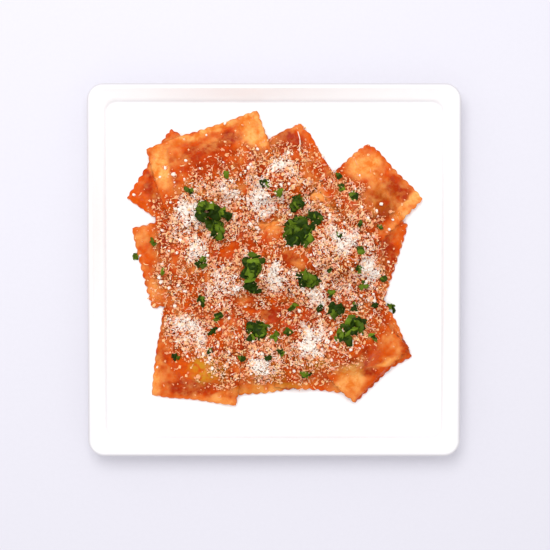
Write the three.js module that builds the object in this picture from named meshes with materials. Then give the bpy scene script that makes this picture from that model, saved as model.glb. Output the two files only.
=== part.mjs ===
// A square moulded-fibre plate with a heap of fourteen ravioli on it.
// Millimetres, +Z up. The origin is the middle of the plate's flat underside.
//
// Each raviolo is laid on the heap in turn, as a cook would: its underside sags like limp
// pasta until it meets what lies below, and its top is that surface plus its own thickness.

import * as THREE from 'three';

// ---------------------------------------------------------------- driving dimensions

const PLATE_SIDE = 203;       // outer width across the lip: an 8-inch plate
const PLATE_HEIGHT = 15;
const FLOOR_TOP = 1.5;        // thickness of the pressed fibre floor
const LIP_CORNER = 8.5;       // outer corner radius of the lip, seen from above
const FLOOR_CORNER = 6.5;     // corner radius where the slope meets the floor
const RIM_WIDTH = 9;          // lip and slope together, seen from above
const LIP_WIDTH = 3.1;        // the rounded top of the rim
const LIP_DROP = 1.8;         // how far the lip turns down at its outer edge
const PLATE_CORNER_STEPS = 4; // facets round each corner

const PASTA_SIDE = 43.4;      // side of a square raviolo
const FLAP = 2.1;             // thickness of the sealed border, two sheets pressed together
const BORDER = 6.3;           // width of the sealed border
const FILLING = 7.4;          // how far the filled middle stands above the border
const FLUTE_PITCH = 4.75;     // one tooth of the cutting wheel
const FLUTE_DEPTH = 1.3;      // from the tip of a tooth to its root

const CLEARANCE = 0.36;       // left between a raviolo and what it lies on
const CELL = 1;               // raster step of the heap's height
const SAG = 0.0125;           // droop of limp pasta in each settling step
const SETTLING_STEPS = 420;

const PASTA_COLOUR = 0xe8893f;
const SAUCED_COLOUR = 0xd65a1c;
const PLATE_COLOUR = 0xf8f7f4;

// The ravioli in the order in which they were laid. Each has its centre, its size along its
// own two sides and its turn in degrees. A mound narrower than the pasta leaves wide flaps.
// A curl lifts the border that lies in the direction "toward" (degrees, in its own frame).

const RAVIOLI = [
  { name: 'ravioli_left_under', at: [-50.5, 44.9], size: [42.4, PASTA_SIDE], turn: 54.8, sauced: true },
  { name: 'ravioli_back', at: [7.4, 51.8], size: [PASTA_SIDE, PASTA_SIDE], turn: 31, sauced: true },
  { name: 'ravioli_left', at: [-50.4, 6.8], size: [45, 44.5], turn: 14.5, sauced: true },
  { name: 'ravioli_right_under', at: [46, 11], size: [PASTA_SIDE, PASTA_SIDE], turn: -17, sauced: true },
  { name: 'ravioli_right_front_under', at: [49.8, -38], size: [37.5, 41.3], turn: 27.3, sauced: true },
  { name: 'ravioli_front_left_under', at: [-7.3, -45.5], size: [PASTA_SIDE, PASTA_SIDE], turn: 6, sauced: true },
  { name: 'ravioli_centre_under', at: [2.6, 5], size: [PASTA_SIDE, PASTA_SIDE], turn: -14.5, sauced: true },
  { name: 'ravioli_front_middle', at: [23.9, -44.2], size: [42.3, PASTA_SIDE], turn: -5.5, sauced: true },
  { name: 'ravioli_front_left', at: [-41.3, -47.8], size: [45.6, 47.2], turn: -7.5 },
  {
    name: 'ravioli_back_left_wide', at: [-31.9, 54.6], size: [64.3, 46.1], turn: 19.5,
    mound: { at: [-2.2, -0.6], size: [37, 36] }, curl: { toward: 90, rise: 1.6 },
  },
  { name: 'ravioli_back_right', at: [50, 38.9], size: [42.9, 45], turn: -46.4, curl: { toward: 0, rise: 1.5 } },
  { name: 'ravioli_front_right', at: [41.4, -40], size: [41.8, 45.6], turn: 46.5, curl: { toward: -45, rise: 5 } },
  { name: 'ravioli_top_left', at: [-16.8, 1.4], size: [PASTA_SIDE, PASTA_SIDE], turn: 8 },
  { name: 'ravioli_top_right', at: [19.5, 13.3], size: [PASTA_SIDE, PASTA_SIDE], turn: 36 },
];

// ---------------------------------------------------------------- small helpers

const clamp = (value, low, high) => Math.min(high, Math.max(low, value));

const smoothstep = (value) => {
  const t = clamp(value, 0, 1);
  return t * t * (3 - 2 * t);
};

// One closed surface from a list of [x, y, z] points and a list of triangles.
function solidFrom(points, triangles) {
  const geometry = new THREE.BufferGeometry();
  geometry.setAttribute('position', new THREE.Float32BufferAttribute(points.flat(), 3));
  geometry.setIndex(triangles.flat());
  geometry.computeVertexNormals();
  return geometry;
}

// Triangles between two closed loops that run the same way round, the outer one holding a
// whole multiple of the inner one's points. Seen from above, they face up.
function bandBetween(outerStart, outerCount, innerStart, innerCount) {
  const triangles = [];
  const ratio = outerCount / innerCount;
  for (let i = 0; i < innerCount; i += 1) {
    const inner = innerStart + i;
    const nextInner = innerStart + (i + 1) % innerCount;
    for (let k = 0; k < ratio; k += 1) {
      const outer = outerStart + (i * ratio + k) % outerCount;
      const nextOuter = outerStart + (i * ratio + k + 1) % outerCount;
      triangles.push([outer, nextOuter, k < ratio / 2 ? inner : nextInner]);
    }
    const hinge = outerStart + (i * ratio + Math.ceil(ratio / 2)) % outerCount;
    triangles.push([hinge, nextInner, inner]);
  }
  return triangles;
}

// Triangles from a closed loop to one middle point, facing up.
function fanTo(start, count, middle) {
  const triangles = [];
  for (let i = 0; i < count; i += 1) {
    triangles.push([start + i, start + (i + 1) % count, middle]);
  }
  return triangles;
}

const flipped = (triangles) => triangles.map(([a, b, c]) => [a, c, b]);

// ---------------------------------------------------------------- the plate

// One loop of a rounded square, half as wide as "half". The corners' centres move out as the
// walls rise, from the floor's corner radius to the lip's.
function roundedSquare(half, z) {
  const low = PLATE_SIDE / 2 - RIM_WIDTH - FLOOR_CORNER;
  const high = PLATE_SIDE / 2 - LIP_CORNER;
  const centre = low + (high - low) * z / PLATE_HEIGHT;
  const corner = half - centre;
  const points = [];
  for (let quarter = 0; quarter < 4; quarter += 1) {
    const middle = quarter * Math.PI / 2 + Math.PI / 4;
    const centreX = Math.sign(Math.cos(middle)) * centre;
    const centreY = Math.sign(Math.sin(middle)) * centre;
    for (let step = 0; step <= PLATE_CORNER_STEPS; step += 1) {
      const angle = (quarter + step / PLATE_CORNER_STEPS) * Math.PI / 2;
      points.push([centreX + corner * Math.cos(angle), centreY + corner * Math.sin(angle), z]);
    }
  }
  return points;
}

// The pressed sheet as one skin: from the underside's middle out under the lip, over it and
// down the inner slope to the middle of the floor.
function plateGeometry() {
  const half = PLATE_SIDE / 2;
  const top = PLATE_HEIGHT;
  const floorHalf = half - RIM_WIDTH;
  const slopeTop = half - LIP_WIDTH;
  const section = [
    { half: floorHalf + 0.2, z: 0 },
    { half: floorHalf + 1.3, z: 0.5 },
    { half: slopeTop + 1.1, z: top - LIP_DROP - 0.2 },
    { half: slopeTop + 1.5, z: top - LIP_DROP + 0.1 },
    { half: half - 0.7, z: top - LIP_DROP },
    { half, z: top - LIP_DROP + 0.5 },
    { half: half - 0.15, z: top - 0.6 },
    { half: half - 1, z: top },
    { half: slopeTop + 0.9, z: top - 0.15 },
    { half: slopeTop, z: top - 1 },
    { half: floorHalf + 0.9, z: FLOOR_TOP + 0.9 },
    { half: floorHalf - 0.1, z: FLOOR_TOP + 0.15 },
    { half: floorHalf - 1.6, z: FLOOR_TOP },
  ];
  const count = 4 * (PLATE_CORNER_STEPS + 1);
  const points = section.flatMap((loop) => roundedSquare(loop.half, loop.z));
  const triangles = [];
  for (let loop = 0; loop + 1 < section.length; loop += 1) {
    triangles.push(...bandBetween(loop * count, count, (loop + 1) * count, count));
  }
  const lastLoop = (section.length - 1) * count;
  const floorMiddle = points.push([0, 0, FLOOR_TOP]) - 1;
  const baseMiddle = points.push([0, 0, 0]) - 1;
  triangles.push(...fanTo(lastLoop, count, floorMiddle));
  triangles.push(...flipped(fanTo(0, count, baseMiddle)));
  return solidFrom(points, triangles);
}

// ---------------------------------------------------------------- the heap's height

// A square raster of heights over the plate's floor. It starts as the bare floor and takes
// in each raviolo once that lies in place.
const HEAP_HALF = Math.ceil(PLATE_SIDE / 2 / CELL) * CELL;
const HEAP_CELLS = 2 * HEAP_HALF / CELL + 1;
const heap = new Float64Array(HEAP_CELLS * HEAP_CELLS).fill(FLOOR_TOP);

const cellOf = (millimetres) => clamp(Math.round((millimetres + HEAP_HALF) / CELL), 0, HEAP_CELLS - 1);

// The highest the heap reaches in a cell or in the eight round it.
function reachedHeight(column, row) {
  let height = FLOOR_TOP;
  for (let dy = -1; dy <= 1; dy += 1) {
    for (let dx = -1; dx <= 1; dx += 1) {
      const x = clamp(column + dx, 0, HEAP_CELLS - 1);
      const y = clamp(row + dy, 0, HEAP_CELLS - 1);
      height = Math.max(height, heap[y * HEAP_CELLS + x]);
    }
  }
  return height;
}

// Calls visit(x, y, z) on a triangle's corners and on points less than a cell apart over it.
function sampleTriangle([a, b, c], visit) {
  const longest = Math.max(
    Math.hypot(a[0] - b[0], a[1] - b[1]),
    Math.hypot(b[0] - c[0], b[1] - c[1]),
    Math.hypot(c[0] - a[0], c[1] - a[1]),
  );
  const steps = Math.max(1, Math.ceil(longest / (CELL / 2)));
  for (let i = 0; i <= steps; i += 1) {
    for (let j = 0; j <= steps - i; j += 1) {
      const u = i / steps;
      const v = j / steps;
      const w = 1 - u - v;
      visit(
        w * a[0] + u * b[0] + v * c[0],
        w * a[1] + u * b[1] + v * c[1],
        w * a[2] + u * b[2] + v * c[2],
      );
    }
  }
}

// ---------------------------------------------------------------- how limp pasta lies

// Settles a limp sheet over the heap inside a raviolo's outline. It starts on the heap, is
// drawn smooth by its own stiffness and never goes below what it rests on. Returns the
// height of its underside as a function of x and y.
function drapedUnderside(raviolo) {
  const reach = Math.hypot(raviolo.size[0], raviolo.size[1]) / 2 + 2 * CELL;
  const firstColumn = cellOf(raviolo.at[0] - reach);
  const firstRow = cellOf(raviolo.at[1] - reach);
  const columns = cellOf(raviolo.at[0] + reach) - firstColumn + 1;
  const rows = cellOf(raviolo.at[1] + reach) - firstRow + 1;
  const rest = new Float64Array(columns * rows);
  const inside = new Uint8Array(columns * rows);
  for (let row = 0; row < rows; row += 1) {
    for (let column = 0; column < columns; column += 1) {
      const x = (firstColumn + column) * CELL - HEAP_HALF;
      const y = (firstRow + row) * CELL - HEAP_HALF;
      const [u, v] = toOwnFrame(raviolo, x, y);
      const overhang = Math.max(Math.abs(u) - raviolo.size[0] / 2, Math.abs(v) - raviolo.size[1] / 2);
      rest[row * columns + column] = reachedHeight(firstColumn + column, firstRow + row) + CLEARANCE;
      inside[row * columns + column] = overhang < 2 * CELL ? 1 : 0;
    }
  }
  let sheet = Float64Array.from(rest);
  for (let step = 0; step < SETTLING_STEPS; step += 1) {
    const next = Float64Array.from(sheet);
    for (let row = 1; row + 1 < rows; row += 1) {
      for (let column = 1; column + 1 < columns; column += 1) {
        const here = row * columns + column;
        if (!inside[here]) continue;
        let sum = 0;
        for (const there of [here - 1, here + 1, here - columns, here + columns]) {
          sum += inside[there] ? sheet[there] : sheet[here];
        }
        next[here] = Math.max(rest[here], sum / 4 - SAG);
      }
    }
    sheet = next;
  }
  return (x, y) => {
    const column = clamp((x + HEAP_HALF) / CELL - firstColumn, 0, columns - 1.001);
    const row = clamp((y + HEAP_HALF) / CELL - firstRow, 0, rows - 1.001);
    const i = Math.floor(column);
    const j = Math.floor(row);
    const s = column - i;
    const t = row - j;
    const near = sheet[j * columns + i] * (1 - s) + sheet[j * columns + i + 1] * s;
    const far = sheet[(j + 1) * columns + i] * (1 - s) + sheet[(j + 1) * columns + i + 1] * s;
    return near * (1 - t) + far * t;
  };
}

// Raises an underside's points until each of its triangles clears the heap everywhere.
function liftClear(points, triangles) {
  for (const triangle of triangles) {
    let shortfall = 0;
    sampleTriangle(triangle.map((index) => points[index]), (x, y, z) => {
      shortfall = Math.max(shortfall, reachedHeight(cellOf(x), cellOf(y)) + CLEARANCE - z);
    });
    for (const index of triangle) {
      points[index][2] += shortfall;
    }
  }
}

// ---------------------------------------------------------------- one raviolo

// A point of the heap in a raviolo's own frame, with u and v along its sides.
function toOwnFrame(raviolo, x, y) {
  const turn = THREE.MathUtils.degToRad(raviolo.turn);
  const dx = x - raviolo.at[0];
  const dy = y - raviolo.at[1];
  return [dx * Math.cos(turn) + dy * Math.sin(turn), dy * Math.cos(turn) - dx * Math.sin(turn)];
}

function fromOwnFrame(raviolo, u, v) {
  const turn = THREE.MathUtils.degToRad(raviolo.turn);
  return [
    raviolo.at[0] + u * Math.cos(turn) - v * Math.sin(turn),
    raviolo.at[1] + u * Math.sin(turn) + v * Math.cos(turn),
  ];
}

// The filled mound's middle and size: the pasta less its border, unless it says otherwise.
function moundOf(raviolo) {
  const size = raviolo.size.map((side) => side - 2 * BORDER);
  return raviolo.mound ?? { at: [0, 0], size };
}

// Thickness at a point of the pasta: the flat border, and the filled mound inside it.
function thicknessAt(raviolo, u, v) {
  const mound = moundOf(raviolo);
  const a = Math.abs(u - mound.at[0]) / (mound.size[0] / 2);
  const b = Math.abs(v - mound.at[1]) / (mound.size[1] / 2);
  const outward = (a ** 3 + b ** 3) ** (1 / 3);
  const dome = Math.sqrt(Math.max(0, 1 - Math.min(outward, 1) ** 2.4));
  return FLAP + FILLING * dome * smoothstep((1.02 - outward) / 0.35);
}

// How far a curled border stands up at a point.
function curlAt(raviolo, u, v) {
  if (!raviolo.curl) return 0;
  const toward = THREE.MathUtils.degToRad(raviolo.curl.toward);
  const along = (u * Math.cos(toward)) / (raviolo.size[0] / 2) + (v * Math.sin(toward)) / (raviolo.size[1] / 2);
  const reach = Math.abs(Math.cos(toward)) + Math.abs(Math.sin(toward));
  return raviolo.curl.rise * clamp((along / reach - 0.62) / 0.38, 0, 1) ** 2;
}

// A closed loop of points round a middle, set in from the edge of a size and rounded towards
// an oval. Teeth alternate outwards and inwards along the sides.
function loopIn({ at, size }, perSide, inset, roundness, tooth = 0) {
  const a = size[0] / 2 - inset;
  const b = size[1] / 2 - inset;
  const corners = [[1, -1], [1, 1], [-1, 1], [-1, -1]];
  const points = [];
  for (let side = 0; side < 4; side += 1) {
    const [fromS, fromT] = corners[side];
    const [toS, toT] = corners[(side + 1) % 4];
    const count = perSide[side % 2];
    for (let i = 0; i < count; i += 1) {
      const along = (i + 0.5) / count;
      const s = fromS + (toS - fromS) * along;
      const t = fromT + (toT - fromT) * along;
      const out = (i % 2 === 0 ? tooth : -tooth) / 2;
      const outS = side % 2 === 0 ? Math.sign(s) * out : 0;
      const outT = side % 2 === 1 ? Math.sign(t) * out : 0;
      const u = a * s * Math.sqrt(1 - roundness * t * t / 2) + outS;
      const v = b * t * Math.sqrt(1 - roundness * s * s / 2) + outT;
      points.push([at[0] + u, at[1] + v]);
    }
  }
  return points;
}

function raviolo(spec) {
  // Points along a side that runs with the depth, then along one that runs with the width.
  // Both are multiples of four, so that the inner loops hold half and a quarter of them.
  const teeth = [spec.size[1], spec.size[0]].map((side) => 2 * Math.round(side / FLUTE_PITCH / 2));
  const fine = teeth.map((count) => 2 * count);
  const coarse = teeth.map((count) => count / 2);
  const sheet = { at: [0, 0], size: spec.size };
  const mound = moundOf(spec);
  const loops = {
    edge: loopIn(sheet, fine, 0, 0.05, FLUTE_DEPTH),
    border: loopIn(sheet, teeth, BORDER / 2, 0.08),
    moundFoot: loopIn(mound, teeth, 0.2, 0.3),
    moundSide: loopIn(mound, coarse, mound.size[0] / 9, 0.5),
    crown: loopIn(mound, coarse, mound.size[0] / 4, 0.8),
  };
  const underside = drapedUnderside(spec);
  const points = [];
  const placed = (loop, lift) => {
    const start = points.length;
    for (const [u, v] of loop) {
      const [x, y] = fromOwnFrame(spec, u, v);
      points.push([x, y, underside(x, y) + lift(u, v)]);
    }
    return start;
  };
  const curl = (u, v) => curlAt(spec, u, v);

  const lowEdge = placed(loops.edge, curl);
  const lowBorder = placed(loops.border, curl);
  const lowCrown = placed(loops.crown, curl);
  const lowMiddle = placed([mound.at], curl);
  const edgeCount = loops.edge.length;
  const borderCount = loops.border.length;
  const crownCount = loops.crown.length;
  const lowTriangles = [
    ...bandBetween(lowEdge, edgeCount, lowBorder, borderCount),
    ...bandBetween(lowBorder, borderCount, lowCrown, crownCount),
    ...fanTo(lowCrown, crownCount, lowMiddle),
  ];
  liftClear(points, lowTriangles);

  // The top follows the settled sheet, and keeps most of its thickness over the facets below.
  const lowSurface = surfaceHeight(points, lowTriangles);
  const thick = (u, v) => thicknessAt(spec, u, v) + curl(u, v);
  const topStart = points.length;
  const highEdge = placed(loops.edge, thick);
  const highBorder = placed(loops.border, thick);
  const highFoot = placed(loops.moundFoot, thick);
  const highSide = placed(loops.moundSide, thick);
  const highCrown = placed(loops.crown, thick);
  const highMiddle = placed([mound.at], thick);
  for (let index = topStart; index < points.length; index += 1) {
    const [x, y] = points[index];
    const [u, v] = toOwnFrame(spec, x, y);
    const least = lowSurface(x, y) + 0.9 * thicknessAt(spec, u, v);
    points[index][2] = Math.max(points[index][2], least);
  }
  const topTriangles = [
    ...bandBetween(highEdge, edgeCount, highBorder, borderCount),
    ...bandBetween(highBorder, borderCount, highFoot, borderCount),
    ...bandBetween(highFoot, borderCount, highSide, crownCount),
    ...bandBetween(highSide, crownCount, highCrown, crownCount),
    ...fanTo(highCrown, crownCount, highMiddle),
  ];
  for (const triangle of topTriangles) {
    sampleTriangle(triangle.map((index) => points[index]), (x, y, z) => {
      const cell = cellOf(y) * HEAP_CELLS + cellOf(x);
      heap[cell] = Math.max(heap[cell], z);
    });
  }
  const rim = bandBetween(lowEdge, edgeCount, highEdge, edgeCount);
  return solidFrom(points, [...flipped(lowTriangles), ...rim, ...topTriangles]);
}

// The height of a set of triangles over a point, which lies within their outline.
function surfaceHeight(points, triangles) {
  return (x, y) => {
    for (const [a, b, c] of triangles.map((triangle) => triangle.map((index) => points[index]))) {
      const area = (b[0] - a[0]) * (c[1] - a[1]) - (c[0] - a[0]) * (b[1] - a[1]);
      const v = ((x - a[0]) * (c[1] - a[1]) - (c[0] - a[0]) * (y - a[1])) / area;
      const w = ((b[0] - a[0]) * (y - a[1]) - (x - a[0]) * (b[1] - a[1])) / area;
      if (v >= -1e-6 && w >= -1e-6 && v + w <= 1 + 1e-6) {
        return a[2] + v * (b[2] - a[2]) + w * (c[2] - a[2]);
      }
    }
    return -Infinity;
  };
}

// ---------------------------------------------------------------- the whole

function meshOf(name, geometry, colour, roughness) {
  const material = new THREE.MeshStandardMaterial({ color: colour, roughness, metalness: 0 });
  const mesh = new THREE.Mesh(geometry, material);
  mesh.name = name;
  return mesh;
}

const dish = new THREE.Group();
dish.add(meshOf('plate', plateGeometry(), PLATE_COLOUR, 0.85));
for (const spec of RAVIOLI) {
  dish.add(meshOf(spec.name, raviolo(spec), spec.sauced ? SAUCED_COLOUR : PASTA_COLOUR, 0.5));
}

export default dish;
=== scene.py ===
import math

import bmesh
import bpy
import numpy as np
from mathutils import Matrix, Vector


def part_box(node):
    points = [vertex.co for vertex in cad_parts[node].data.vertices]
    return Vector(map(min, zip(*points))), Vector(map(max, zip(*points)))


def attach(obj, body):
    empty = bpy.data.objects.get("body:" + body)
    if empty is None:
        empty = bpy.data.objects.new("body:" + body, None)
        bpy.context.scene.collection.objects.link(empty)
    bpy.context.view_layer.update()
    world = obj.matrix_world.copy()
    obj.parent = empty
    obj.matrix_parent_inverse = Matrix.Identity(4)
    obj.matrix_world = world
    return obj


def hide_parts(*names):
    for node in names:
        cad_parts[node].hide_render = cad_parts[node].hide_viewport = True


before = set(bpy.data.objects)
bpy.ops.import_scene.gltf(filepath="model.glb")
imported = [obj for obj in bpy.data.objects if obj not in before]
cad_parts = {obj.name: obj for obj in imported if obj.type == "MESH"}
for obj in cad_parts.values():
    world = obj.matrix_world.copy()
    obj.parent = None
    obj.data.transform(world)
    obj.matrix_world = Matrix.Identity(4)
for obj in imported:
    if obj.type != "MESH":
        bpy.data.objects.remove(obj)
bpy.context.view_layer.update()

# ------------------------------------------------------------------ camera
# The camera hangs over the plate on a copy stand, a little back of plumb, and looks down on
# it through a long lens.

PLATE_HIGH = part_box("plate")[1]
CAMERA_DISTANCE = 0.735
CAMERA_TILT = math.radians(1.8)
AIM = Vector((0.0005, -0.0024, PLATE_HIGH.z))
SENSOR_WIDTH = 36  # millimetres
FOCAL_LENGTH = 88.6

lens = bpy.data.cameras.new("camera")
lens.sensor_width = SENSOR_WIDTH
lens.lens = FOCAL_LENGTH
camera = bpy.data.objects.new("camera", lens)
back_of_plumb = Vector((0, math.sin(CAMERA_TILT), math.cos(CAMERA_TILT)))
camera.location = AIM + CAMERA_DISTANCE * back_of_plumb
camera.rotation_euler = (-CAMERA_TILT, 0, 0)
bpy.context.collection.objects.link(camera)
bpy.context.scene.camera = camera
bpy.context.scene.view_settings.view_transform = "Standard"

# ------------------------------------------------------------------ table
# A plain matt table top, pale grey with a touch of lilac. It is a backdrop, and not part of
# the dish.

MM = 0.001
TABLE_HALF = 1500  # millimetres, far past the camera's view


def linear(red, green, blue, alpha=1.0):
    """A colour given on a screen's scale, 0 to 255, as the shaders' linear values."""
    shares = [value / 255 for value in (red, green, blue)]
    return (*[s / 12.92 if s < 0.04 else ((s + 0.055) / 1.055) ** 2.4 for s in shares], alpha)


def add(tree, kind, inputs=None, **settings):
    """A shader node with its settings. Its inputs are values, or other nodes' outputs."""
    made = tree.nodes.new("ShaderNode" + kind)
    for key, value in settings.items():
        setattr(made, key, value)
    for key, value in (inputs or {}).items():
        if isinstance(value, bpy.types.NodeSocket):
            tree.links.new(value, made.inputs[key])
        else:
            made.inputs[key].default_value = value
    return made


def mixed(tree, share, first, second):
    """The colour between two colours."""
    return add(tree, "Mix", {0: share, 6: first, 7: second}, data_type="RGBA").outputs[2]


def counted(tree, operation, *values):
    """The result of a sum on values or sockets."""
    return add(tree, "Math", dict(enumerate(values)), operation=operation).outputs[0]


def new_material(name):
    """An empty material, its node tree, and the shader that its nodes feed."""
    material = bpy.data.materials.new(name)
    material.use_nodes = True
    tree = material.node_tree
    return material, tree, tree.nodes["Principled BSDF"]


def noise_of(tree, size, detail=2, rough=0.5):
    """Fractal noise over the dish, in grains about as wide as size millimetres."""
    place = add(tree, "TexCoord").outputs["Object"]
    inputs = {"Vector": place, "Scale": 1 / (size * MM), "Detail": detail, "Roughness": rough}
    return add(tree, "TexNoise", inputs).outputs["Fac"]


def ramp_of(tree, value, low, high):
    """0 below low, 1 above high, and an even climb between them."""
    inputs = {"Value": value, "From Min": low, "From Max": high}
    return add(tree, "MapRange", inputs).outputs["Result"]


def bump_of(tree, height, depth):
    """A normal from a height, 0 to 1, that stands depth millimetres proud."""
    return add(tree, "Bump", {"Height": height, "Distance": depth * MM}).outputs["Normal"]


def piece_of(name, points, faces, material, smooth=True):
    """A mesh object from points in millimetres and its faces."""
    mesh = bpy.data.meshes.new(name)
    mesh.from_pydata(np.asarray(points) * MM, [], [tuple(face) for face in faces])
    mesh.polygons.foreach_set("use_smooth", [smooth] * len(mesh.polygons))
    mesh.materials.append(material)
    mesh.update()
    piece = bpy.data.objects.new(name, mesh)
    bpy.context.collection.objects.link(piece)
    return piece


table_paint, tree, shader = new_material("pale_table")
grain = noise_of(tree, 2, detail=3)
shader.inputs["Roughness"].default_value = 0.8
shader.inputs["Specular IOR Level"].default_value = 0.2
tree.links.new(
    mixed(tree, grain, linear(215, 213, 220), linear(218, 216, 223)), shader.inputs["Base Color"]
)
corners = [(x * TABLE_HALF, y * TABLE_HALF, 0) for x, y in ((-1, -1), (1, -1), (1, 1), (-1, 1))]
table_top = piece_of("table_top", corners, [(0, 1, 2, 3)], table_paint, smooth=False)

# ------------------------------------------------------------------ studio light
# A large softbox stands behind the plate on its left, turned to the plate's middle. The white
# room around it fills the shadows, a little cooler than the softbox.

SOFTBOX_AT = (-0.11, 0.34, 0.78)
SOFTBOX_SIDE = 0.45
SOFTBOX_WATTS = 3.4
ROOM_STRENGTH = 0.98

room = bpy.data.worlds.new("white_room")
room.use_nodes = True
walls = room.node_tree.nodes["Background"]
walls.inputs["Color"].default_value = (0.97, 0.97, 1, 1)
walls.inputs["Strength"].default_value = ROOM_STRENGTH
bpy.context.scene.world = room
room.cycles_visibility.glossy = False  # only the softbox is mirrored in the wet sauce
softbox_light = bpy.data.lights.new("softbox", "AREA")
softbox_light.size = SOFTBOX_SIDE
softbox_light.energy = SOFTBOX_WATTS
softbox = bpy.data.objects.new("softbox", softbox_light)
softbox.location = SOFTBOX_AT
softbox.rotation_euler = (AIM - softbox.location).to_track_quat("-Z", "Y").to_euler()
bpy.context.collection.objects.link(softbox)

# ------------------------------------------------------------------ plate
# A square plate pressed from white plant fibre in a heated mould. One sheet makes its flat
# floor, the sloping rim and the rounded lip that turns down at the edge.

RIM_WIDTH = 9        # lip and slope together, seen from above
LIP_WIDTH = 3.1
LIP_DROP = 1.8       # how far the lip turns down at its outer edge
FLOOR_TOP = 1.5      # thickness of the pressed floor
LIP_CORNER = 8.5     # corner radius of the lip's outer edge
FLOOR_CORNER = 6.5   # corner radius where the slope meets the floor
CORNER_STEPS = 12
GREY_EDGE = 3.4      # how far in from the lip's edge the painted shade reaches, where the lip turns down
GREY_FOOT = 1.0      # half the width of the painted shade line in the crease at the foot of the rim
FOOT_GREYNESS = 0.52


def softened(points, rounds):
    """A line of points with its corners cut and cut again, between the same two ends."""
    line = np.array(points, float)
    for _ in range(rounds):
        near, far = 0.75 * line[:-1] + 0.25 * line[1:], 0.25 * line[:-1] + 0.75 * line[1:]
        cut = np.stack([near, far], 1).reshape(-1, 2)
        line = np.vstack([line[:1], cut, line[-1:]])
    return line


def rounded_square(half, height, top, plate_half):
    """One loop of the plate. The corners' middles move out as the walls rise."""
    low, high = plate_half - RIM_WIDTH - FLOOR_CORNER, plate_half - LIP_CORNER
    centre = low + (high - low) * height / top
    loop = []
    for quarter, (x, y) in enumerate(((1, 1), (-1, 1), (-1, -1), (1, -1))):
        angles = (quarter + np.linspace(0, 1, CORNER_STEPS + 1)) * math.pi / 2
        corner = half - centre
        loop += [
            (x * centre + corner * math.cos(a), y * centre + corner * math.sin(a), height)
            for a in angles
        ]
    return loop


def rows_of_quads(rows, count, closed):
    """Quads between rows of count points, each row joined to the next."""
    here = np.arange(count if closed else count - 1)
    ahead = (here + 1) % count
    start = (np.arange(rows - 1) * count)[:, None]
    quads = [start + here, start + ahead, start + count + ahead, start + count + here]
    return np.stack(quads, -1).reshape(-1, 4)


def store(piece, name, values):
    """Keeps one number for each point of a piece, for its material to read."""
    stored = piece.data.attributes.new(name, "FLOAT", "POINT")
    stored.data.foreach_set("value", values.astype(np.float32))


plate_half, plate_top = PLATE_HIGH.x / MM, PLATE_HIGH.z / MM
floor_half, slope_top = plate_half - RIM_WIDTH, plate_half - LIP_WIDTH
# The rim cut through, as distances out from the middle and heights: along its underside, round
# the lip, and back down its upper side to the floor.
section = softened([
    (floor_half - 2, 0),
    (floor_half + 0.3, 0),
    (floor_half + 1.5, 0.7),
    (slope_top + 1.0, plate_top - LIP_DROP - 0.6),
    (slope_top + 1.5, plate_top - LIP_DROP),
    (plate_half - 0.6, plate_top - LIP_DROP),
    (plate_half, plate_top - LIP_DROP + 0.2),
    (plate_half - 0.1, plate_top - 1.2),
    (plate_half - 0.8, plate_top - 0.35),
    (plate_half - 2.1, plate_top),
    (slope_top + 0.6, plate_top),
    (slope_top, plate_top - 0.9),
    (floor_half + 1.1, FLOOR_TOP + 1.3),
    (floor_half + 0.4, FLOOR_TOP),
    (floor_half - 2, FLOOR_TOP),
], rounds=2)
loops = [rounded_square(half, height, plate_top, plate_half) for half, height in section]
around = len(loops[0])
points = [point for loop in loops for point in loop] + [(0, 0, FLOOR_TOP), (0, 0, 0)]
middle_above, middle_below = len(points) - 2, len(points) - 1
last = (len(loops) - 1) * around
faces = rows_of_quads(len(loops), around, closed=True).tolist()
faces += [(last + i, last + (i + 1) % around, middle_above) for i in range(around)]
faces += [((i + 1) % around, i, middle_below) for i in range(around)]

fibre, tree, shader = new_material("pressed_plant_fibre")
felted = noise_of(tree, 0.9, detail=5, rough=0.65)
cloudy = noise_of(tree, 12, detail=3)
tone = mixed(tree, cloudy, linear(251, 251, 250), linear(254, 253, 252))
white = mixed(tree, felted, linear(250, 249, 248), tone)
# Painted shade: a stored mask greys the lip's turned-down outer edge and the crease at the foot of
# the rim.
rim_shade_share = add(tree, "Attribute", attribute_name="painted_rim_shade").outputs["Fac"]
tree.links.new(mixed(tree, rim_shade_share, white, linear(192, 187, 191)), shader.inputs["Base Color"])
tree.links.new(bump_of(tree, felted, 0.05), shader.inputs["Normal"])
shader.inputs["Roughness"].default_value = 0.82
shader.inputs["Specular IOR Level"].default_value = 0.3
shader.inputs["Sheen Weight"].default_value = 0.6
shader.inputs["Sheen Roughness"].default_value = 0.5
plate = piece_of("fibre_plate", points, faces, fibre)
out, height = section.T
# Painted shade, stored on the points: greyer towards the lip's outer edge and in a line at the rim's
# foot.
at_edge = np.clip((out - plate_half) / GREY_EDGE + 1, 0, 1) ** 1.5
from_foot = (out - floor_half - 0.2) / GREY_FOOT
at_foot = FOOT_GREYNESS * np.exp(-(from_foot ** 2)) * (height > FLOOR_TOP / 2)
store(plate, "painted_rim_shade", np.append(np.repeat(np.maximum(at_edge, at_foot), around), (0, 0)))
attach(plate, "root")
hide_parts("plate")

# ------------------------------------------------------------------ ravioli
# Fourteen square ravioli: two sheets of egg pasta sealed round a soft filling, and cut apart
# with a fluted wheel. Cooked limp, each sags over those that it was laid on.

LAID = [
    "ravioli_left_under", "ravioli_back", "ravioli_left", "ravioli_right_under",
    "ravioli_right_front_under", "ravioli_front_left_under", "ravioli_centre_under",
    "ravioli_front_middle", "ravioli_front_left", "ravioli_back_left_wide",
    "ravioli_back_right", "ravioli_front_right", "ravioli_top_left", "ravioli_top_right",
]
# Borders that curl up off the heap: the way that they face, in degrees, and the rise.
CURLS = {
    "ravioli_back_left_wide": (110, 1.6),
    "ravioli_back_right": (-46, 1.5),
    "ravioli_front_right": (2, 5),
}
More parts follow.
